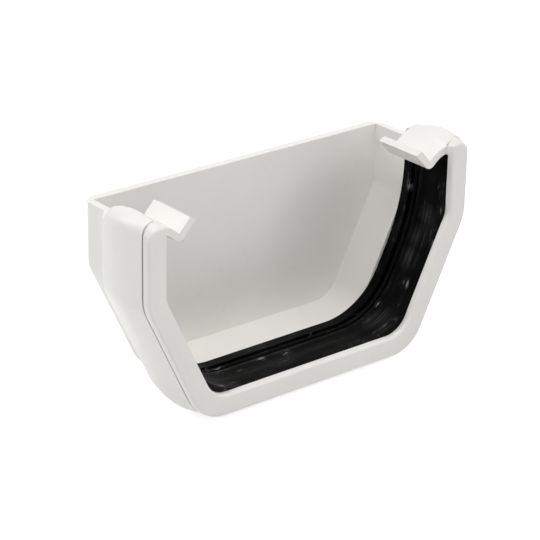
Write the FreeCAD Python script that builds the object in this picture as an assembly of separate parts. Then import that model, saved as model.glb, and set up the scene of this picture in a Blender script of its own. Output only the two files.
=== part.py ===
import FreeCAD, Part

import math
import os

# Gutter stop end for a square-line gutter. Millimetres, +Z up, x = 0 in the middle.
# The pieces are drawn with the open front at y = 0 and the underside at z = 0, and
# then moved so that the origin is the middle of the seat for the gutter's end.

# Channel that the gutter's end slides into
GUTTER_WIDTH = 114.0
SOCKET_CLEARANCE = 0.2
WALL = 2.7
END_PLATE = 3.1

# Outer outline of the front, seen along the gutter
PLATE_TOP = 65.2
KNEE_HEIGHT = 42.9
FLOOR_WIDTH = 86.6
KNEE_ROUND = 14.0
CORNER_ROUND = 13.5
SOCKET_CORNER_ROUND = 9.5
BELLY = 1.6

# Lengths along the gutter, behind the front frame
POCKET_LENGTH = 19.4
STEP_LENGTH = 6.5
BACK_RUN = 11.4

# Pocket for the seal, the step behind it and the back edge
POCKET_DEPTH = 4.3
STEP_STATIONS = 6
BACK_EDGE_ROUND = 5.0

# Front frame
FRAME_FLANGE = 2.4
REBATE_DEPTH = 1.0
REBATE_STEP = 1.0
FRAME_EDGE_ROUND = 1.0
FRAME_FRONT_RISE = 3.3
FRAME_BACK_RISE = 5.0
FRAME_INNER_RISE = 2.7
HORN_CREST_INSET = 3.6
HORN_CREST_LIFT = 0.2
HORN_SLOPE = math.radians(35)
FRAME_CORNER_ROUND = 4.0
FRAME_INNER_ROUND = 1.2
SEAM_WIDTH = 0.5
SEAM_DEPTH = 0.9

# Hooked lug over each wall: rises and drops are counted from the end plate's top
LUG_STATIONS = 8
LUG_THICKNESS = 2.4
LUG_ROOT_DROP = 4.2
CROWN_FRONT_RISE = 5.0
CROWN_BACK_RISE = 3.8
CROWN_SWELL = 1.15
CROWN_INSET = 3.6
SHOULDER_DROP = 4.4
SADDLE_INSET = 6.7
SADDLE_FRONT_RISE = 2.1
SADDLE_BACK_RISE = 2.9
SADDLE_SWELL = 1.3
SADDLE_THICKNESS = 2.5
SADDLE_FRONT_SLOPE = math.radians(5)
HOLLOW_SLOPE = math.radians(10)
SADDLE_BACK_SLOPE = math.radians(25)
SLOPE_SWELL = math.radians(16)
VALLEY_INSET = 13.8
VALLEY_DROP = 1.6
VALLEY_SLOPE = math.radians(43)
LIP_REACH = 3.9
LIP_RISE = 4.3
LIP_SLANT = 0.7
ROUND_SHARE = 0.55
DOME_SHARE = 0.5
SLOPE_SHARE = 0.45

# Rib that closes each lug's back end
RIB_THICKNESS = 1.3
RIB_RISE = 3.7
RIB_INNER_RISE = 3.1
RIB_EDGE_ROUND = 0.9

# Rubber seal
SEAL_CLEARANCE = 0.1
SEAL_DROP = 0.5
SEAL_BACK_BAND = 3.6
SEAL_GROOVE_WIDTH = 1.4
SEAL_GROOVE_FLOOR = 1.5
SEAL_RIB_WIDTH = 1.3
SEAL_NOTCH_WIDTH = 0.8
SEAL_NOTCH_DEPTH = 1.1
SEAL_CROWN = 0.35
CREST_STATIONS = 4
SEAL_SMALL_LOBE = 3.6
SEAL_HOLLOW = 1.0
SEAL_CORNER_SHARE = 0.4
SEAL_KNEE_SHARE = 0.7
SEAL_SLANT_SHARE = 0.55

# Worked out from the sizes above
SOCKET_HALF = GUTTER_WIDTH / 2 + SOCKET_CLEARANCE
SOCKET_INSET = WALL + POCKET_DEPTH
FRONT_HALF = SOCKET_HALF + SOCKET_INSET
SLOPE = math.atan2(FRONT_HALF - FLOOR_WIDTH / 2, KNEE_HEIGHT)
FLOOR_TURN = math.pi / 2 - SLOPE
FRAME_THICKNESS = FRAME_FLANGE + REBATE_DEPTH
POCKET_BACK = FRAME_THICKNESS + POCKET_LENGTH
STEP_BACK = POCKET_BACK + STEP_LENGTH
DEPTH = STEP_BACK + BACK_RUN
SEAT_Y = DEPTH - END_PLATE
SEAL_TOP = PLATE_TOP - SEAL_DROP
LUG_ROOT = PLATE_TOP - LUG_ROOT_DROP
LUG_BACK = POCKET_BACK - RIB_THICKNESS

# An edge this near to a plane lies on it
TOUCH = 0.01


def point(x, y, z):
    return FreeCAD.Vector(x, y, z)


def corner_arc(before, corner, after, radius):
    """Round a corner: the arc between two straight runs, from the first to the second."""
    into = (before - corner).normalize()
    out = (after - corner).normalize()
    half_angle = into.getAngle(out) / 2
    reach = radius / math.tan(half_angle)
    centre = corner + (into + out).normalize() * (radius / math.sin(half_angle))
    start = corner + into * reach
    end = corner + out * reach
    middle = centre + (corner - centre).normalize() * radius
    return Part.Arc(start, middle, end).toShape()


def rounded_line(corners, radii):
    """Straight runs through the corners, with each inner corner rounded by its radius."""
    edges = []
    last = corners[0]
    for before, corner, after, radius in zip(corners, corners[1:], corners[2:], radii):
        arc = corner_arc(before, corner, after, radius)
        edges.append(Part.makeLine(last, arc.Vertexes[0].Point))
        edges.append(arc)
        last = arc.Vertexes[-1].Point
    edges.append(Part.makeLine(last, corners[-1]))
    return edges


def bezier(*poles):
    curve = Part.BezierCurve()
    curve.setPoles(list(poles))
    return curve.toShape()


def both_sides(shape):
    """The right-hand shape and its mirror image on the left."""
    return [shape, shape.mirror(point(0, 0, 0), point(1, 0, 0))]


def wall_corners(inset, y, top, hollow=0.0):
    """Right half of the channel's outline, moved inwards, from the top down to the floor.

    The hollow leaves the slanted wall that much further out than the others.
    """
    half = FRONT_HALF - inset
    slant = inset - hollow
    knee = KNEE_HEIGHT + slant * math.tan(SLOPE / 2) - hollow / math.tan(SLOPE)
    floor = FLOOR_WIDTH / 2 - slant * math.tan(FLOOR_TURN / 2) + hollow * math.tan(SLOPE)
    return [point(half, y, top), point(half, y, knee), point(floor, y, inset)]


def mirrored(corners):
    return [point(-corner.x, corner.y, corner.z) for corner in reversed(corners)]


def channel_wire(right, knee_round, corner_round):
    """Closed outline of the channel from its right-hand corners."""
    radii = [knee_round, corner_round]
    edges = rounded_line(right + mirrored(right), radii + radii[::-1])
    edges.append(Part.makeLine(edges[-1].Vertexes[-1].Point, edges[0].Vertexes[0].Point))
    return Part.Wire(edges)


def outer_wire(inset, y, top):
    """Outline that keeps the same distance from the outer face all round."""
    return channel_wire(wall_corners(inset, y, top), KNEE_ROUND - inset, CORNER_ROUND - inset)


def channel_block(inset, y_front, y_back, top):
    return Part.Face(outer_wire(inset, y_front, top)).extrude(point(0, y_back - y_front, 0))


def belly(y):
    """How far the outer face swells at this depth: most in the middle of the seal's pocket."""
    return BELLY * math.sin(math.pi * (y - FRAME_THICKNESS) / POCKET_LENGTH)


def lug_depths():
    """Depths of the sections that the outer wall and the lugs share."""
    spacing = (LUG_BACK - FRAME_THICKNESS) / LUG_STATIONS
    return [FRAME_THICKNESS + spacing * index for index in range(LUG_STATIONS + 1)]


def body_outside():
    """Outer form: the swelling front run, a soft step inwards, and the plain back run."""
    stations = [(y, -belly(y)) for y in lug_depths()]
    for index in range(STEP_STATIONS + 1):
        share = index / STEP_STATIONS
        eased = (1 - math.cos(math.pi * share)) / 2
        stations.append((POCKET_BACK + STEP_LENGTH * share, POCKET_DEPTH * eased))
    stations.append((DEPTH, POCKET_DEPTH))
    wires = [outer_wire(inset, y, PLATE_TOP) for y, inset in stations]
    block = Part.makeLoft(wires, True, True)
    back_edges = []
    for edge in block.Edges:
        box = edge.BoundBox
        if box.YMin > DEPTH - TOUCH and box.ZMin < PLATE_TOP - TOUCH:
            back_edges.append(edge)
    return block.makeFillet(BACK_EDGE_ROUND, back_edges)


def outer_round(outer, y, crown):
    """Rounded shoulder from the wall's outer face up to the crown."""
    shoulder = point(outer, y, crown - SHOULDER_DROP)
    top = point(FRONT_HALF - CROWN_INSET, y, crown)
    rise = point(0, 0, SHOULDER_DROP * ROUND_SHARE)
    run = point((outer - top.x) * ROUND_SHARE, 0, 0)
    return bezier(shoulder, shoulder + rise, top + run, top)


def falling_curve(top, top_slope, bottom, bottom_slope, share):
    """Double curve that leaves the top at one slope and comes down to the bottom at another."""
    reach = (top.x - bottom.x) * share
    leaving = point(math.cos(top_slope), 0, math.sin(top_slope)) * reach
    coming = point(math.cos(bottom_slope), 0, math.sin(bottom_slope)) * reach
    return bezier(top, top - leaving, bottom + coming, bottom)


def along_lug(y, front, back, swell):
    """A value that runs from the lug's front to its back and swells in the middle."""
    share = (y - FRAME_THICKNESS) / (LUG_BACK - FRAME_THICKNESS)
    return front + (back - front) * share + swell * math.sin(math.pi * share)


def lug_section(y):
    """One section of the right lug: the dome over the wall, the saddle, the valley and the lip."""
    outer = FRONT_HALF + belly(y)
    wall_in = FRONT_HALF - WALL
    crown = PLATE_TOP + along_lug(y, CROWN_FRONT_RISE, CROWN_BACK_RISE, CROWN_SWELL)
    shoulder = outer_round(outer, y, crown)
    top = shoulder.Vertexes[-1].Point
    saddle_rise = along_lug(y, SADDLE_FRONT_RISE, SADDLE_BACK_RISE, SADDLE_SWELL)
    saddle_slope = along_lug(y, SADDLE_FRONT_SLOPE, SADDLE_BACK_SLOPE, SLOPE_SWELL)
    saddle = point(FRONT_HALF - SADDLE_INSET, y, PLATE_TOP + saddle_rise)
    valley = point(FRONT_HALF - VALLEY_INSET, y, PLATE_TOP - VALLEY_DROP)
    lip_run = point(-LIP_REACH, 0, LIP_RISE)
    lip_way = point(lip_run.x, 0, lip_run.z).normalize()
    lip_top = valley + lip_run
    lip_under = point(-lip_way.z, 0, lip_way.x) * LUG_THICKNESS
    slope_under = point(math.sin(VALLEY_SLOPE), 0, -math.cos(VALLEY_SLOPE)) * LUG_THICKNESS
    lip_tip = lip_top + lip_under + lip_way * LIP_SLANT
    keel_in = valley + lip_under
    keel_out = valley + slope_under
    keel_low = valley - point(0, 0, LUG_THICKNESS)
    hollow = point(saddle.x, y, PLATE_TOP + SADDLE_FRONT_RISE - SADDLE_THICKNESS)
    hollow_run = point(1, 0, math.tan(HOLLOW_SLOPE)) * (wall_in - saddle.x)
    root_out = point(outer, y, LUG_ROOT)
    root_in = point(wall_in, y, LUG_ROOT)
    return Part.Wire([
        Part.makeLine(root_out, shoulder.Vertexes[0].Point),
        shoulder,
        falling_curve(top, 0, saddle, saddle_slope, DOME_SHARE),
        falling_curve(saddle, saddle_slope, valley, VALLEY_SLOPE, SLOPE_SHARE),
        Part.makeLine(valley, lip_top),
        Part.makeLine(lip_top, lip_tip),
        Part.makeLine(lip_tip, keel_in),
        Part.Arc(keel_in, keel_low, keel_out).toShape(),
        falling_curve(hollow, HOLLOW_SLOPE, keel_out, VALLEY_SLOPE, SLOPE_SHARE),
        Part.makeLine(hollow, hollow + hollow_run),
        Part.makeLine(hollow + hollow_run, root_in),
        Part.makeLine(root_in, root_out),
    ])


def lug():
    """Right lug, lofted through its sections along the gutter."""
    return Part.makeLoft([lug_section(y) for y in lug_depths()], True, True)


def rib():
    """Upright wall that closes the right lug's back end and stands over the end of the seal."""
    y = LUG_BACK
    back = y + RIB_THICKNESS
    wall_in = FRONT_HALF - WALL
    over_seal = SEAL_TOP + SEAL_CLEARANCE
    shoulder = outer_round(FRONT_HALF, y, PLATE_TOP + RIB_RISE)
    corners = [
        shoulder.Vertexes[-1].Point,
        point(SOCKET_HALF, y, PLATE_TOP + RIB_INNER_RISE),
        point(SOCKET_HALF, y, over_seal),
        point(wall_in, y, over_seal),
        point(wall_in, y, LUG_ROOT),
        point(FRONT_HALF, y, LUG_ROOT),
        shoulder.Vertexes[0].Point,
    ]
    edges = [Part.makeLine(start, end) for start, end in zip(corners, corners[1:])]
    wall = Part.Face(Part.Wire(edges + [shoulder])).extrude(point(0, RIB_THICKNESS, 0))
    above = PLATE_TOP + RIB_INNER_RISE - SHOULDER_DROP
    top_edges = []
    for edge in wall.Edges:
        box = edge.BoundBox
        if box.YMin > back - TOUCH and box.ZMin > above and box.XLength > TOUCH:
            top_edges.append(edge)
    return wall.makeFillet(RIB_EDGE_ROUND, top_edges)


def cap_body():
    above = PLATE_TOP + WALL
    socket_corners = wall_corners(SOCKET_INSET, FRAME_THICKNESS, above)
    socket_face = Part.Face(channel_wire(socket_corners, KNEE_ROUND - SOCKET_INSET, SOCKET_CORNER_ROUND))
    socket = socket_face.extrude(point(0, SEAT_Y - FRAME_THICKNESS, 0))
    pocket = channel_block(WALL, FRAME_THICKNESS, POCKET_BACK, above)
    shell = body_outside().cut(socket).cut(pocket)
    return shell.fuse(both_sides(lug()) + both_sides(rib())).removeSplitter()


def frame_wire(y, rise):
    """Outline of the frame at this depth, from the middle of its underside all the way round."""
    top = PLATE_TOP + rise
    middle = point(0, y, 0)
    right = wall_corners(0, y, top)[::-1] + wall_corners(SOCKET_INSET, y, top)
    radii = [
        CORNER_ROUND,
        KNEE_ROUND,
        FRAME_CORNER_ROUND,
        FRAME_INNER_ROUND,
        KNEE_ROUND - SOCKET_INSET,
        SOCKET_CORNER_ROUND,
    ]
    return Part.Wire(rounded_line([middle] + right + mirrored(right) + [middle], radii + radii[::-1]))


def seam_groove():
    """Ring round the frame's back edge that is cut away, shallower over the horns."""
    y = FRAME_THICKNESS - SEAM_WIDTH
    top = PLATE_TOP + FRAME_BACK_RISE - SEAM_DEPTH / 3
    middle = point(0, y, top)
    right = wall_corners(SEAM_DEPTH, y, top)
    radii = [FRAME_CORNER_ROUND - SEAM_DEPTH, KNEE_ROUND - SEAM_DEPTH, CORNER_ROUND - SEAM_DEPTH]
    kept_wire = Part.Wire(rounded_line([middle] + right + mirrored(right) + [middle], radii + radii[::-1]))
    kept = Part.Face(kept_wire).extrude(point(0, SEAM_WIDTH, 0))
    return channel_block(-WALL, y, FRAME_THICKNESS, top + WALL).cut(kept)


def horn_relief():
    """What is cut away above the right horn, so that its top falls inwards as the lug's does."""
    above = PLATE_TOP + FRAME_BACK_RISE + WALL
    crest = point(FRONT_HALF - HORN_CREST_INSET, 0, PLATE_TOP + FRAME_BACK_RISE + HORN_CREST_LIFT)
    inner = point(FRONT_HALF - SOCKET_INSET, 0, PLATE_TOP + FRAME_INNER_RISE)
    corners = [inner, inner - point(WALL, 0, 0), point(inner.x - WALL, 0, above), point(crest.x, 0, above), crest]
    edges = [Part.makeLine(start, end) for start, end in zip(corners, corners[1:])]
    fall = falling_curve(crest, 0, inner, HORN_SLOPE, DOME_SHARE)
    return Part.Face(Part.Wire(edges + [fall])).extrude(point(0, FRAME_THICKNESS, 0))


def front_frame():
    """Flat frame that closes the seal's pocket; its horns rise towards the lugs behind them."""
    front = frame_wire(0, FRAME_FRONT_RISE)
    back = frame_wire(FRAME_THICKNESS, FRAME_BACK_RISE)
    rebate = channel_block(WALL + REBATE_STEP, FRAME_FLANGE, FRAME_THICKNESS, SEAL_TOP)
    frame = Part.makeLoft([front, back], True, True).cut(seam_groove()).cut(rebate)
    front_edges = [edge for edge in frame.Edges if edge.BoundBox.YMax < TOUCH]
    rounded = frame.makeFillet(FRAME_EDGE_ROUND, front_edges)
    return rounded.cut(both_sides(horn_relief()))


def seal_bands():
    """Depths and heights of the rubber's inner face, one band after another from the front."""
    band = POCKET_BACK - SEAL_CLEARANCE - SEAL_BACK_BAND
    groove = band - SEAL_GROOVE_WIDTH
    small = groove - SEAL_RIB_WIDTH
    notch = small - SEAL_NOTCH_WIDTH
    middle = notch - SEAL_SMALL_LOBE
    notch_floor = POCKET_DEPTH - SEAL_NOTCH_DEPTH

    def flat(start, end, height):
        return [(start, height), (end, height)]

    def crest(start, end):
        places = []
        for index in range(CREST_STATIONS + 1):
            share = index / CREST_STATIONS
            fall = SEAL_CROWN * (1 - math.sin(math.pi * share))
            places.append((start + (end - start) * share, POCKET_DEPTH - fall))
        return places

    return [
        crest(FRAME_FLANGE, middle),
        crest(middle, notch),
        flat(notch, small, notch_floor),
        crest(small, groove),
        flat(groove, band, SEAL_GROOVE_FLOOR),
        flat(band, band + SEAL_BACK_BAND, POCKET_DEPTH),
    ]


def seal_wire(y, height):
    """Outline of the rubber's inner face, which bends softly where the pocket has its corners."""
    hollow = SEAL_HOLLOW * height / POCKET_DEPTH
    right = wall_corners(WALL + height, y, PLATE_TOP, hollow)
    knee = right[1]
    slant = (knee - right[2]).Length
    knee_reach = min(SEAL_KNEE_SHARE * (SEAL_TOP - knee.z), SEAL_SLANT_SHARE * slant)
    corner_reach = SEAL_CORNER_SHARE * slant
    return channel_wire(right, knee_reach / math.tan(SLOPE / 2), corner_reach / math.tan(FLOOR_TURN / 2))


def rubber_seal():
    """Rubber that fills the pocket and the frame's rebate, hollowed out band by band."""
    back = POCKET_BACK - SEAL_CLEARANCE
    tongue = WALL + REBATE_STEP + SEAL_CLEARANCE
    rubber = channel_block(WALL, FRAME_THICKNESS, back, SEAL_TOP)
    rubber = rubber.fuse(channel_block(tongue, FRAME_FLANGE, FRAME_THICKNESS, SEAL_TOP))
    for band in seal_bands():
        rubber = rubber.cut(Part.makeLoft([seal_wire(y, height) for y, height in band], True, True))
    return rubber


if __name__ == "__main__":
    os.makedirs("parts", exist_ok=True)
    seat_middle = point(0, SEAT_Y, (SOCKET_INSET + PLATE_TOP) / 2)
    for build in (cap_body, front_frame, rubber_seal):
        shape = build()
        shape.translate(-seat_middle)
        print(build.__name__, shape.isValid(), len(shape.Solids), "solid", round(shape.Volume), "mm3")
        shape.exportStep("parts/" + build.__name__ + ".step")
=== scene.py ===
# %% [markdown]
# # Gutter stop end
# A white plastic cap that closes the end of a square-line rain gutter. It is three pieces:
# the moulded body with its two hooked lugs, a frame at the open front, and a black rubber
# seal in a pocket between them. The construction comes in ready-made and to size. This
# script gives it its finishes, a camera and studio light.

# %% Load the construction
import math

import bpy
from mathutils import Euler, Matrix, Vector


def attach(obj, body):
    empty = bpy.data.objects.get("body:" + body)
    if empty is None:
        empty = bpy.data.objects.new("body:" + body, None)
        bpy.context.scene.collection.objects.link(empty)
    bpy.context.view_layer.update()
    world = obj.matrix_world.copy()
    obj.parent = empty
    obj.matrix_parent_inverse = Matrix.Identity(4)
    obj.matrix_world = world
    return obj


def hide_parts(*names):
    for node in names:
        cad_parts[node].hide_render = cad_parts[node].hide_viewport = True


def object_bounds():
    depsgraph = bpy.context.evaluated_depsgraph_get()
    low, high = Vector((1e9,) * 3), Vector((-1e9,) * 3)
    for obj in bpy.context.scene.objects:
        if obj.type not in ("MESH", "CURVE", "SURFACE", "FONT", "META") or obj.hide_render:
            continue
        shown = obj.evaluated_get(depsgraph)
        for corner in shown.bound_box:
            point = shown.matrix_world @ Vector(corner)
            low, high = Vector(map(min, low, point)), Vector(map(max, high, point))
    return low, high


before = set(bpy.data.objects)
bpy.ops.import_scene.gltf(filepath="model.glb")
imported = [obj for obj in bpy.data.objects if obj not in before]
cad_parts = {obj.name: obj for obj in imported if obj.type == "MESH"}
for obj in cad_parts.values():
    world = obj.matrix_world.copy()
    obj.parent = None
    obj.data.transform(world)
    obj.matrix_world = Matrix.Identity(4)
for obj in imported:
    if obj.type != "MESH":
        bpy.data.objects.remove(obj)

CAD_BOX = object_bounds()
print("construction box in mm:", [[round(v * 1000, 1) for v in corner] for corner in CAD_BOX])

# %% [markdown]
# ## The camera
# A product picture is taken from some way off with a long lens, so that parallel edges
# stay nearly parallel. A camera can be placed by hand, or by its direction from a target
# point. The second way is used here, because the direction, the distance and the lens can
# then be read as plain numbers.

# %% Camera
AZIMUTH = math.radians(-39.66)
ELEVATION = math.radians(23.59)
ROLL = math.radians(1.17)
DISTANCE = 0.7137
TARGET = Vector((-0.00162, -0.01744, -0.00266))
LENS = 149.6
SENSOR_WIDTH = 36.0
NEAREST = 0.01
FARTHEST = 10.0

camera_data = bpy.data.cameras.new("camera")
camera = bpy.data.objects.new("camera", camera_data)
bpy.context.scene.collection.objects.link(camera)
camera_data.lens = LENS
camera_data.sensor_width = SENSOR_WIDTH
camera_data.clip_start = NEAREST
camera_data.clip_end = FARTHEST
turn = Euler((math.pi / 2 - ELEVATION, 0, AZIMUTH)).to_matrix() @ Matrix.Rotation(ROLL, 3, "Z")
camera.location = TARGET + turn @ Vector((0, 0, DISTANCE))
camera.rotation_euler = turn.to_euler()
bpy.context.scene.camera = camera
bpy.context.scene.view_settings.view_transform = "Standard"
print("camera at", [round(v, 3) for v in camera.location])

# %% [markdown]
# ## Small helpers for nodes
# Every finish here is a tree of nodes. Nodes can be wired by hand in the shader editor, or
# in code with short helpers. The helpers keep each finish a few lines long, so that what
# the finish does can be read from top to bottom.

# %% Helpers for nodes
LEVEL = (0.0, 0.0, 0.0)


def new_material(name):
    """An empty node material and its output node."""
    material = bpy.data.materials.new(name)
    material.use_nodes = True
    material.node_tree.nodes.clear()
    output = material.node_tree.nodes.new("ShaderNodeOutputMaterial")
    return material, output


def add(tree, kind, **settings):
    """A new node of that kind, with its properties set by name."""
    node = tree.nodes.new(kind)
    for name, value in settings.items():
        setattr(node, name, value)
    return node


def feed(tree, socket, source):
    """Gives an input its value: another node's output is linked, anything else is written in."""
    if isinstance(source, bpy.types.NodeSocket):
        tree.links.new(source, socket)
    else:
        socket.default_value = source


def calculate(tree, operation, *values, clamp=False):
    """A math node with its inputs fed in order, as its output socket."""
    node = add(tree, "ShaderNodeMath", operation=operation, use_clamp=clamp)
    for socket, value in zip(node.inputs, values):
        feed(tree, socket, value)
    return node.outputs[0]


def multiply(tree, first, second, clamp=False):
    """Two values multiplied."""
    return calculate(tree, "MULTIPLY", first, second, clamp=clamp)


def highest(tree, first, second):
    """The greater of two values."""
    return calculate(tree, "MAXIMUM", first, second)


def blend_colours(tree, share, first, second):
    """A mix of two colours, as its output socket."""
    node = add(tree, "ShaderNodeMix", data_type="RGBA")
    feed(tree, node.inputs[0], share)
    feed(tree, node.inputs[6], first)
    feed(tree, node.inputs[7], second)
    return node.outputs[2]


def remap(tree, value, from_low, from_high, to_low=0.0, to_high=1.0):
    """A value stretched from one range to another and held inside it."""
    node = add(tree, "ShaderNodeMapRange")
    for socket, source in zip(node.inputs, (value, from_low, from_high, to_low, to_high)):
        feed(tree, socket, source)
    return node.outputs[0]


def noise(tree, vector, scale, detail=3.0, roughness=0.5):
    """Soft noise in three dimensions, as its value socket."""
    node = add(tree, "ShaderNodeTexNoise")
    feed(tree, node.inputs["Vector"], vector)
    feed(tree, node.inputs["Scale"], scale)
    feed(tree, node.inputs["Detail"], detail)
    feed(tree, node.inputs["Roughness"], roughness)
    return node.outputs["Fac"]


def stretched(tree, vector, stretch, turn=LEVEL):
    """Coordinates that are turned and then stretched, so that a pattern on them runs one way."""
    node = add(tree, "ShaderNodeMapping")
    feed(tree, node.inputs["Vector"], vector)
    feed(tree, node.inputs["Rotation"], turn)
    feed(tree, node.inputs["Scale"], stretch)
    return node.outputs["Vector"]


# %% [markdown]
# ## Floor
# The cap stands on a wide sheet of pale card. Seen by the camera or in a reflection the
# card glows a little by itself, so that it comes out nearly white without more light
# falling on the cap, and the cap's soft shadow still shows on it. Far from the cap, where
# less lamplight falls, the card glows more, so no grey band shows in a low view.

# %% Floor
FLOOR_SIZE = 6.0
FLOOR_COLOUR = (0.82, 0.82, 0.82, 1.0)
NEAR_GLOW = 0.7
FAR_GLOW = 1.0
GLOW_GROWS_OVER = (0.4, 1.6)


def seen_directly(tree):
    """1 for rays from the camera and rays that a shiny or clear surface sends on, else 0."""
    path = add(tree, "ShaderNodeLightPath")
    shiny = highest(tree, path.outputs["Is Camera Ray"], path.outputs["Is Glossy Ray"])
    return highest(tree, shiny, path.outputs["Is Transmission Ray"])


bpy.ops.object.select_all(action="DESELECT")
bpy.ops.mesh.primitive_plane_add(size=FLOOR_SIZE, location=(0, 0, CAD_BOX[0].z))
floor = bpy.context.object
floor.name = "floor"
card, card_output = new_material("pale_card")
tree = card.node_tree
card_surface = add(tree, "ShaderNodeBsdfDiffuse")
card_surface.inputs["Color"].default_value = FLOOR_COLOUR
glow = add(tree, "ShaderNodeEmission")
reach = add(tree, "ShaderNodeVectorMath", operation="LENGTH")
feed(tree, reach.inputs[0], add(tree, "ShaderNodeTexCoord").outputs["Object"])
strength = remap(tree, reach.outputs["Value"], *GLOW_GROWS_OVER, NEAR_GLOW, FAR_GLOW)
feed(tree, glow.inputs["Strength"], multiply(tree, seen_directly(tree), strength))
both = add(tree, "ShaderNodeAddShader")
tree.links.new(card_surface.outputs[0], both.inputs[0])
tree.links.new(glow.outputs[0], both.inputs[1])
tree.links.new(both.outputs[0], card_output.inputs["Surface"])
floor.data.materials.append(card)
print("floor at z mm", round(CAD_BOX[0].z * 1000, 1))

# %% [markdown]
# ## Light
# White plastic shows its form only by small steps of grey, so the light has to differ
# gently from side to side. It could come from one lamp and its bounces, but shadows would
# then be hard. Here two wide lamps hang overhead and a third stands behind on the left.
# Three smaller ones stand on the left, high on the right, and in front on the right. The
# two on the right throw the soft edge of shadow on the end plate. The world adds a little.

# %% World and lamps
WORLD_STRENGTH = 0.11
# For each lamp: where it stands, how wide it is, and its power.
LAMPS = {
    "top": ((0.0, 0.1, 1.2), 1.0, 4.95),
    "top_front": ((0.0, -0.6, 1.1), 0.9, 5.85),
    "low_left": ((-1.1, -0.25, 0.42), 0.5, 2.05),
    "right": ((0.95, -0.63, 0.87), 0.5, 2.0),
    "front_right": ((0.75, -0.85, 0.55), 0.4, 1.45),
    "back_left": ((-0.8, 0.8, 0.9), 0.9, 6.2),
}
COOL = (0.95, 0.975, 1.0)
WHITE = (1.0, 1.0, 1.0)


def soft_lamp(name, place, size, power):
    """A square lamp at a place, facing the object; the left ones are a little cooler."""
    data = bpy.data.lights.new(name + "_lamp", "AREA")
    data.size = size
    data.energy = power
    data.color = COOL if name.endswith("left") else WHITE
    lamp = bpy.data.objects.new(name + "_lamp", data)
    bpy.context.scene.collection.objects.link(lamp)
    lamp.location = place
    lamp.rotation_euler = Vector(place).to_track_quat("Z", "Y").to_euler()
    lamp.visible_camera = False


world = bpy.data.worlds.new("studio")
world.use_nodes = True
bpy.context.scene.world = world
sky = world.node_tree.nodes["Background"]
sky.inputs["Color"].default_value = (*WHITE, 1.0)
tree = world.node_tree
feed(tree, sky.inputs["Strength"], remap(tree, seen_directly(tree), 0.0, 1.0, WORLD_STRENGTH, 1.0))
for lamp_name, (place, size, power) in LAMPS.items():
    soft_lamp(lamp_name, place, size, power)
print("lamps:", sorted(LAMPS))

# %% [markdown]
# ## Shared surface effects
# Moulded plastic and moulded rubber are never quite even: the tone drifts a little where
# the melt flowed, the skin is finely pebbled by the steel of the mould, and handling
# leaves short scuffs. Each effect could be painted into every material again. Instead it
# is built once as a node group with named inputs and outputs, and each material takes it
# with its own values.

# %% A helper for node groups
def new_group(name, inputs, outputs):
    """An empty shader group with those sockets: its tree, its input node and its output node."""
    group = bpy.data.node_groups.new(name, "ShaderNodeTree")
    for title, kind, value in inputs:
        socket = group.interface.new_socket(title, in_out="INPUT", socket_type="NodeSocket" + kind)
        if value is not None:
            socket.default_value = value
    for title, kind in outputs:
        group.interface.new_socket(title, in_out="OUTPUT", socket_type="NodeSocket" + kind)
    return group, add(group, "NodeGroupInput"), add(group, "NodeGroupOutput")


def place_group(tree, group, **values):
    """The group as a node in a tree, with its inputs fed by name."""
    node = add(tree, "ShaderNodeGroup", node_tree=group)
    for title, value in values.items():
        feed(tree, node.inputs[title.replace("_", " ").capitalize()], value)
    return node


# %% [markdown]
# ### Drifting tone
# The colour of a moulding drifts between two near shades over a centimetre or two. A
# colour ramp on noise would do it too, but a plain mix keeps both shades as named inputs.

# %% Drifting tone
DRIFT_RANGE = (0.35, 0.65)

drifting_tone, inside, outside = new_group(
    "drifting_tone",
    [
        ("Vector", "Vector", None),
        ("Light", "Color", (0.8, 0.8, 0.8, 1)),
        ("Dark", "Color", (0.7, 0.7, 0.7, 1)),
        ("Scale", "Float", 60.0),
    ],
    [("Color", "Color"), ("Drift", "Float")],
)
clouds = noise(drifting_tone, inside.outputs["Vector"], inside.outputs["Scale"])
drift = remap(drifting_tone, clouds, *DRIFT_RANGE)
tone = blend_colours(drifting_tone, drift, inside.outputs["Light"], inside.outputs["Dark"])
drifting_tone.links.new(tone, outside.inputs["Color"])
drifting_tone.links.new(drift, outside.inputs["Drift"])
print("group:", drifting_tone.name)

# %% [markdown]
# ### Moulded skin
# Under a lens the skin has two sizes of unevenness: a slow ripple, a millimetre or two
# wide, and a much finer pebbling. Both are added into one height.

# %% Moulded skin
FINE_TO_SLOW = 6.0
FINE_SHARE = 0.3

moulded_skin, inside, outside = new_group(
    "moulded_skin", [("Vector", "Vector", None), ("Scale", "Float", 500.0)], [("Height", "Float")]
)
slow = noise(moulded_skin, inside.outputs["Vector"], inside.outputs["Scale"], detail=1.0)
fine_scale = multiply(moulded_skin, inside.outputs["Scale"], FINE_TO_SLOW)
fine = noise(moulded_skin, inside.outputs["Vector"], fine_scale, detail=2.0)
height = calculate(moulded_skin, "MULTIPLY_ADD", fine, FINE_SHARE, slow)
moulded_skin.links.new(height, outside.inputs["Height"])
print("group:", moulded_skin.name)

# %% [markdown]
# ### Scuffs
# A scuff is a short thin line. Noise that is stretched along one direction and cut off
# high up gives such lines. Two directions are laid over each other, so that the scuffs
# don't all run the same way, and a slow noise leaves most of the surface free of them.

# %% Scuffs
SCUFF_STRETCH = (1.0, 0.05, 1.0)
SCUFF_TURNS = ((0.4, 0.9, 0.3), (1.1, -0.4, 1.3))
LINE_RANGE = (0.66, 0.74)
PATCH_TO_LINE = 0.15
PATCH_RANGE = (0.48, 0.62)

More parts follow.
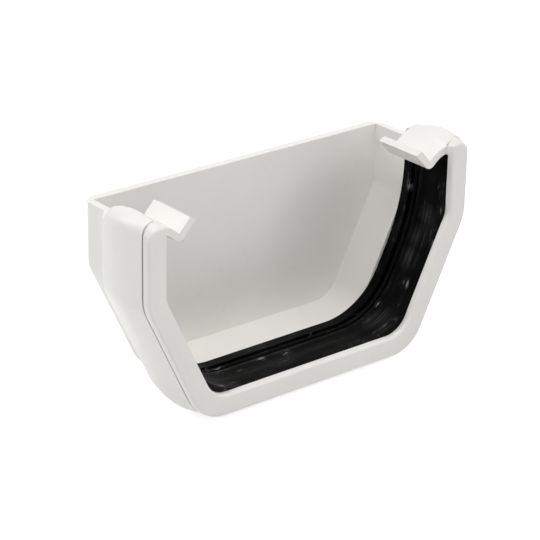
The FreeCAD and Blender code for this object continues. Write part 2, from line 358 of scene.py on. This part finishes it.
scuffs, inside, outside = new_group(
    "scuffs",
    [("Vector", "Vector", None), ("Scale", "Float", 300.0), ("Amount", "Float", 0.5)],
    [("Mask", "Float")],
)
lines = []
for turn in SCUFF_TURNS:
    way = stretched(scuffs, inside.outputs["Vector"], SCUFF_STRETCH, turn)
    strokes = noise(scuffs, way, inside.outputs["Scale"], detail=2.0)
    lines.append(remap(scuffs, strokes, *LINE_RANGE))
patch_scale = multiply(scuffs, inside.outputs["Scale"], PATCH_TO_LINE)
blotches = noise(scuffs, inside.outputs["Vector"], patch_scale, detail=1.0)
handled = multiply(scuffs, highest(scuffs, *lines), remap(scuffs, blotches, *PATCH_RANGE))
mask = multiply(scuffs, handled, inside.outputs["Amount"], clamp=True)
scuffs.links.new(mask, outside.inputs["Mask"])
print("group:", scuffs.name)

# %% [markdown]
# ## White plastic
# The body and the frame are moulded from hard white plastic with a soft gloss. A flat
# white with one roughness looks like paper. So the tone drifts slightly, the gloss varies
# with it, the skin ripples very finely, and a few scuffs take away some gloss. Moulded
# edges are never razor sharp: the Bevel node bends the light over them as a small
# rounding would, without touching the mesh.

# %% White plastic
TONE_SCALE = 45.0
SKIN_SCALE = 420.0
SKIN_DEPTH = 0.00001
SCUFF_SCALE = 260.0
SCUFF_AMOUNT = 0.6
SCUFF_TONE = 0.93
SCUFF_DULLING = 0.2
GLOSSIER = 0.03
DULLER = 0.04
EDGE_ROUNDING = 0.0003
EDGE_SAMPLES = 6
BODY_LIGHT = (0.900, 0.880, 0.845, 1)
BODY_DARK = (0.878, 0.857, 0.820, 1)
BODY_ROUGHNESS = 0.33


def white_plastic(name, light, dark, roughness):
    """Soft gloss plastic between two shades: the material, its shader and its coordinates."""
    material, output = new_material(name)
    tree = material.node_tree
    place = add(tree, "ShaderNodeTexCoord").outputs["Object"]
    tone = place_group(tree, drifting_tone, vector=place, light=light, dark=dark, scale=TONE_SCALE)
    skin = place_group(tree, moulded_skin, vector=place, scale=SKIN_SCALE)
    marks = place_group(tree, scuffs, vector=place, scale=SCUFF_SCALE, amount=SCUFF_AMOUNT)
    scuffed = [channel * SCUFF_TONE for channel in light[:3]] + [1.0]
    colour = blend_colours(tree, marks.outputs["Mask"], tone.outputs["Color"], scuffed)
    between = (roughness - GLOSSIER, roughness + DULLER)
    gloss = remap(tree, tone.outputs["Drift"], 0.0, 1.0, *between)
    dulled = calculate(tree, "MULTIPLY_ADD", marks.outputs["Mask"], SCUFF_DULLING, gloss)
    edges = add(tree, "ShaderNodeBevel", samples=EDGE_SAMPLES)
    edges.inputs["Radius"].default_value = EDGE_ROUNDING
    ripple = add(tree, "ShaderNodeBump")
    ripple.inputs["Distance"].default_value = SKIN_DEPTH
    tree.links.new(skin.outputs["Height"], ripple.inputs["Height"])
    tree.links.new(edges.outputs[0], ripple.inputs["Normal"])
    surface = add(tree, "ShaderNodeBsdfPrincipled")
    feed(tree, surface.inputs["Base Color"], colour)
    feed(tree, surface.inputs["Roughness"], dulled)
    feed(tree, surface.inputs["Normal"], ripple.outputs[0])
    tree.links.new(surface.outputs[0], output.inputs["Surface"])
    return material, surface, place


body_white, _, _ = white_plastic("white_plastic", BODY_LIGHT, BODY_DARK, BODY_ROUGHNESS)
print("finish:", body_white.name)

# %% [markdown]
# ## The frame's plastic
# The frame is a separate moulding, and its copy of the plastic is a shade greyer than the
# body, which is painted shade on its faces. Where it meets the body a fine groove runs round
# the outside, and the shade in that groove is painted in as a dark colour. It could be
# painted on by hand. Here the groove is picked by its place along the gutter and left out on
# the inner sides, and the painted shade fades over the round tops of the horns.

# %% The frame's plastic
# The frame's two shades are greyer than the body's, which is painted shade on the frame.
FRAME_LIGHT = (0.865, 0.848, 0.818, 1)
FRAME_DARK = (0.845, 0.826, 0.794, 1)
FRAME_ROUGHNESS = 0.36
# The groove's dark colour is painted shade between the frame and the body.
GROOVE_DEPTHS = (-0.03500, -0.03470)
SHADE_FADE_HEIGHTS = (0.0335, 0.0300)
FACING_IN = -0.045
GROOVE_SHADE = (0.08, 0.075, 0.07, 1)

frame_white, frame_surface, frame_place = white_plastic(
    "frame_plastic", FRAME_LIGHT, FRAME_DARK, FRAME_ROUGHNESS
)
tree = frame_white.node_tree
apart = add(tree, "ShaderNodeSeparateXYZ")
tree.links.new(frame_place, apart.inputs[0])
in_groove = remap(tree, apart.outputs["Y"], *GROOVE_DEPTHS)
below_top = remap(tree, apart.outputs["Z"], *SHADE_FADE_HEIGHTS)
sideways = add(tree, "ShaderNodeVectorMath", operation="DOT_PRODUCT")
feed(tree, sideways.inputs[0], add(tree, "ShaderNodeTexCoord").outputs["Normal"])
feed(tree, sideways.inputs[1], frame_place)
facing_out = calculate(tree, "GREATER_THAN", sideways.outputs["Value"], FACING_IN)
# Painted shade in the groove: the frame's colour turns dark there.
painted_groove_shade = multiply(tree, multiply(tree, in_groove, below_top), facing_out)
plain_colour = frame_surface.inputs["Base Color"].links[0].from_socket
feed(tree, frame_surface.inputs["Base Color"], blend_colours(tree, painted_groove_shade, plain_colour, GROOVE_SHADE))
print("finish:", frame_white.name)

# %% [markdown]
# ## Black rubber
# The seal is soft black rubber. It is drawn and pressed along the channel, so fine
# streaks follow its ridges all the way round. It reflects little. Its glints are painted
# highlights, short broken dashes of light colour along the streaks, with a clear coat on
# them. Streaks could be modelled as ribs, but they are much finer than a mesh should be:
# noise that is squeezed along the gutter and drawn out across it gives them on the floor
# and on both walls alike.

# %% Streaks and patches
STREAK_STRETCH = (0.02, 1.0, 0.02)
STREAK_SCALE = 1500.0
BRIGHT_STREAKS = (0.52, 0.75)
PATCH_STRETCH = (0.35, 1.0, 0.35)
PATCH_SCALE = 190.0
SHINY_PATCHES = (0.50, 0.72)

rubber, rubber_output = new_material("black_rubber")
tree = rubber.node_tree
place = add(tree, "ShaderNodeTexCoord").outputs["Object"]
along = stretched(tree, place, STREAK_STRETCH)
streaks = noise(tree, along, STREAK_SCALE, detail=3.0, roughness=0.65)
bright = remap(tree, streaks, *BRIGHT_STREAKS)
wider = stretched(tree, place, PATCH_STRETCH)
patches = remap(tree, noise(tree, wider, PATCH_SCALE, detail=2.0), *SHINY_PATCHES)
print("streaks and patches ready")

# %% [markdown]
# ### Glint and sheen spots
# A few spots of the seal carry painted highlights: at the left end of the floor, over the
# right bend and on the right wall. Each is a soft ball in space. Where a glint spot meets
# the surface, more of the short dashes come through as painted glints. A sheen spot only
# lifts the streaks with a lighter colour, as painted sheen.

# %% Glint and sheen spots
# Glint spots and sheen spots mark where painted highlights and painted sheen go.
# For each spot: its middle and its radius.
GLINT_SPOTS = [
    ((-0.0290, -0.0208, -0.0295), 0.0036),
    ((-0.0255, -0.0216, -0.0294), 0.0036),
    ((-0.0100, -0.0232, -0.0293), 0.0028),
    ((-0.0005, -0.0245, -0.0292), 0.0030),
    ((0.0402, -0.0233, -0.0235), 0.0022),
    ((0.0465, -0.0291, -0.0158), 0.0028),
    ((0.0566, -0.0175, 0.0128), 0.0032),
]
SHEEN_SPOTS = [
    ((0.0357, -0.0296, -0.0264), 0.0065),
    ((0.0505, -0.0268, -0.0085), 0.0050),
    ((0.0532, -0.0274, -0.0015), 0.0050),
    ((0.0553, -0.0285, 0.0060), 0.0045),
]
DASH_STRETCH = (0.16, 1.0, 0.16)
DASH_SCALE = 1700.0
DASH_HELP = 0.11
GLINTING_DASHES = (0.63, 0.72)
SHEEN_STREAK_RANGE = (0.42, 0.62)
PATCH_SHINE = 0.6


def soft_spots(tree, place, spots):
    """A mask that is 1 in the middle of each spot and falls to 0 at its radius."""
    mask = 0.0
    for centre, radius in spots:
        reach = add(tree, "ShaderNodeVectorMath", operation="DISTANCE")
        feed(tree, reach.inputs[0], place)
        feed(tree, reach.inputs[1], centre)
        mask = highest(tree, remap(tree, reach.outputs["Value"], radius, 0.0), mask)
    return mask


glint_spots = soft_spots(tree, place, GLINT_SPOTS)
sheen_spots = soft_spots(tree, place, SHEEN_SPOTS)
shiny_skin = highest(tree, multiply(tree, patches, PATCH_SHINE), glint_spots)
dashes = noise(tree, stretched(tree, place, DASH_STRETCH), DASH_SCALE, detail=2.0)
helped = calculate(tree, "MULTIPLY_ADD", glint_spots, DASH_HELP, dashes)
glints = multiply(tree, remap(tree, helped, *GLINTING_DASHES), shiny_skin)
sheen_streaks = multiply(tree, sheen_spots, remap(tree, streaks, *SHEEN_STREAK_RANGE))
print("glint and sheen spots:", len(GLINT_SPOTS) + len(SHEEN_SPOTS))

# %% [markdown]
# ### Putting the rubber together
# The streaks lift the tone a little and the patches lift it more, which is painted sheen;
# the patches also carry a thin clear coat. The glints are painted highlights in a light
# colour, with a clear coat that is sharper than the rubber's own gloss. The specular level
# stays low, because black rubber soaks up most light.

# %% Black rubber
RUBBER_LIGHT = (0.0020, 0.0021, 0.0024, 1)
RUBBER_DARK = (0.0008, 0.0008, 0.0007, 1)
RUBBER_TONE_SCALE = 90.0
RUBBER_SKIN_SCALE = 900.0
# The shine, sheen and glint tones are painted sheen and painted highlights on the black rubber.
PAINTED_SHINE_TONE = (0.020, 0.021, 0.023, 1)
PAINTED_SHEEN_TONE = (0.045, 0.047, 0.050, 1)
PAINTED_GLINT_TONE = (0.28, 0.29, 0.30, 1)
SKIN_SHINE = 0.45
STREAK_SHINE = 0.2
STREAKS_ARE = (0.35, 0.7)
ROUGHNESS_IS = (0.50, 0.32)
STREAK_HEIGHT = 1.5
RELIEF_DEPTH = 0.00003
GLINT_COAT = 0.6
SKIN_COAT = 0.08
COAT_ROUGHNESS = 0.18
SPECULAR_LEVEL = 0.035

tone = place_group(
    tree, drifting_tone, vector=place, light=RUBBER_LIGHT, dark=RUBBER_DARK, scale=RUBBER_TONE_SCALE
)
# Painted sheen: the colour lightens along the streaks, on the patches and at the sheen spots.
streak_shine = multiply(tree, bright, STREAK_SHINE)
shine = calculate(tree, "MULTIPLY_ADD", shiny_skin, SKIN_SHINE, streak_shine)
lifted = blend_colours(tree, shine, tone.outputs["Color"], PAINTED_SHINE_TONE)
with_painted_sheen = blend_colours(tree, sheen_streaks, lifted, PAINTED_SHEEN_TONE)
# Painted glints: the colour turns light along the glinting dashes.
colour = blend_colours(tree, glints, with_painted_sheen, PAINTED_GLINT_TONE)
roughness = remap(tree, streaks, *STREAKS_ARE, *ROUGHNESS_IS)
skin = place_group(tree, moulded_skin, vector=place, scale=RUBBER_SKIN_SCALE)
relief = calculate(tree, "MULTIPLY_ADD", streaks, STREAK_HEIGHT, skin.outputs["Height"])
coat = calculate(tree, "MULTIPLY_ADD", glints, GLINT_COAT, multiply(tree, shiny_skin, SKIN_COAT))
bump = add(tree, "ShaderNodeBump")
bump.inputs["Distance"].default_value = RELIEF_DEPTH
tree.links.new(relief, bump.inputs["Height"])
surface = add(tree, "ShaderNodeBsdfPrincipled")
feed(tree, surface.inputs["Base Color"], colour)
feed(tree, surface.inputs["Roughness"], roughness)
feed(tree, surface.inputs["Normal"], bump.outputs[0])
feed(tree, surface.inputs["Coat Weight"], coat)
surface.inputs["Specular IOR Level"].default_value = SPECULAR_LEVEL
surface.inputs["Coat Roughness"].default_value = COAT_ROUGHNESS
tree.links.new(surface.outputs[0], rubber_output.inputs["Surface"])
print("finish:", rubber.name)

# %% [markdown]
# ## Smooth pieces
# The construction's meshes are loose triangles, so light breaks at every facet of a
# curved face. They can't be smoothed as they are, and making the curves finer would only
# make the facets smaller. So each piece gets a copy: its triangles are joined at their
# corners, and it is shaded smooth wherever two faces meet at a low angle. The copy then
# stands for the construction's own piece.

# %% A smooth copy
MERGE_WITHIN = 0.000002


def smooth_copy(node_name, piece_name, below, finish):
    """Makes a joined and smoothed copy that stands for a construction node, with its finish."""
    bpy.ops.object.select_all(action="DESELECT")
    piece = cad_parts[node_name].copy()
    piece.data = piece.data.copy()
    bpy.context.scene.collection.objects.link(piece)
    piece.parent = None
    for key in list(piece.keys()):
        del piece[key]
    piece.name = piece_name
    piece.select_set(True)
    bpy.context.view_layer.objects.active = piece
    if piece.data.has_custom_normals:
        bpy.ops.mesh.customdata_custom_splitnormals_clear()
    bpy.ops.object.mode_set(mode="EDIT")
    bpy.ops.mesh.select_all(action="SELECT")
    bpy.ops.mesh.remove_doubles(threshold=MERGE_WITHIN)
    bpy.ops.object.mode_set(mode="OBJECT")
    bpy.ops.object.shade_smooth_by_angle(angle=math.radians(below))
    piece.data.materials.clear()
    piece.data.materials.append(finish)
    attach(piece, "root")
    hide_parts(node_name)
    print(piece.name, len(piece.data.vertices), "points", len(piece.data.polygons), "faces")


# %% [markdown]
# ### The three pieces
# The plastic is smoothed below a low angle, so that its flat faces stay flat and its real
# corners stay crisp. The rubber is softer all over, so its edges blend over a wider angle.

# %% The three pieces
PLASTIC_ANGLE = 24
RUBBER_ANGLE = 32

smooth_copy("cap_body", "smooth_body", PLASTIC_ANGLE, body_white)
smooth_copy("front_frame", "smooth_frame", PLASTIC_ANGLE, frame_white)
smooth_copy("rubber_seal", "smooth_seal", RUBBER_ANGLE, rubber)
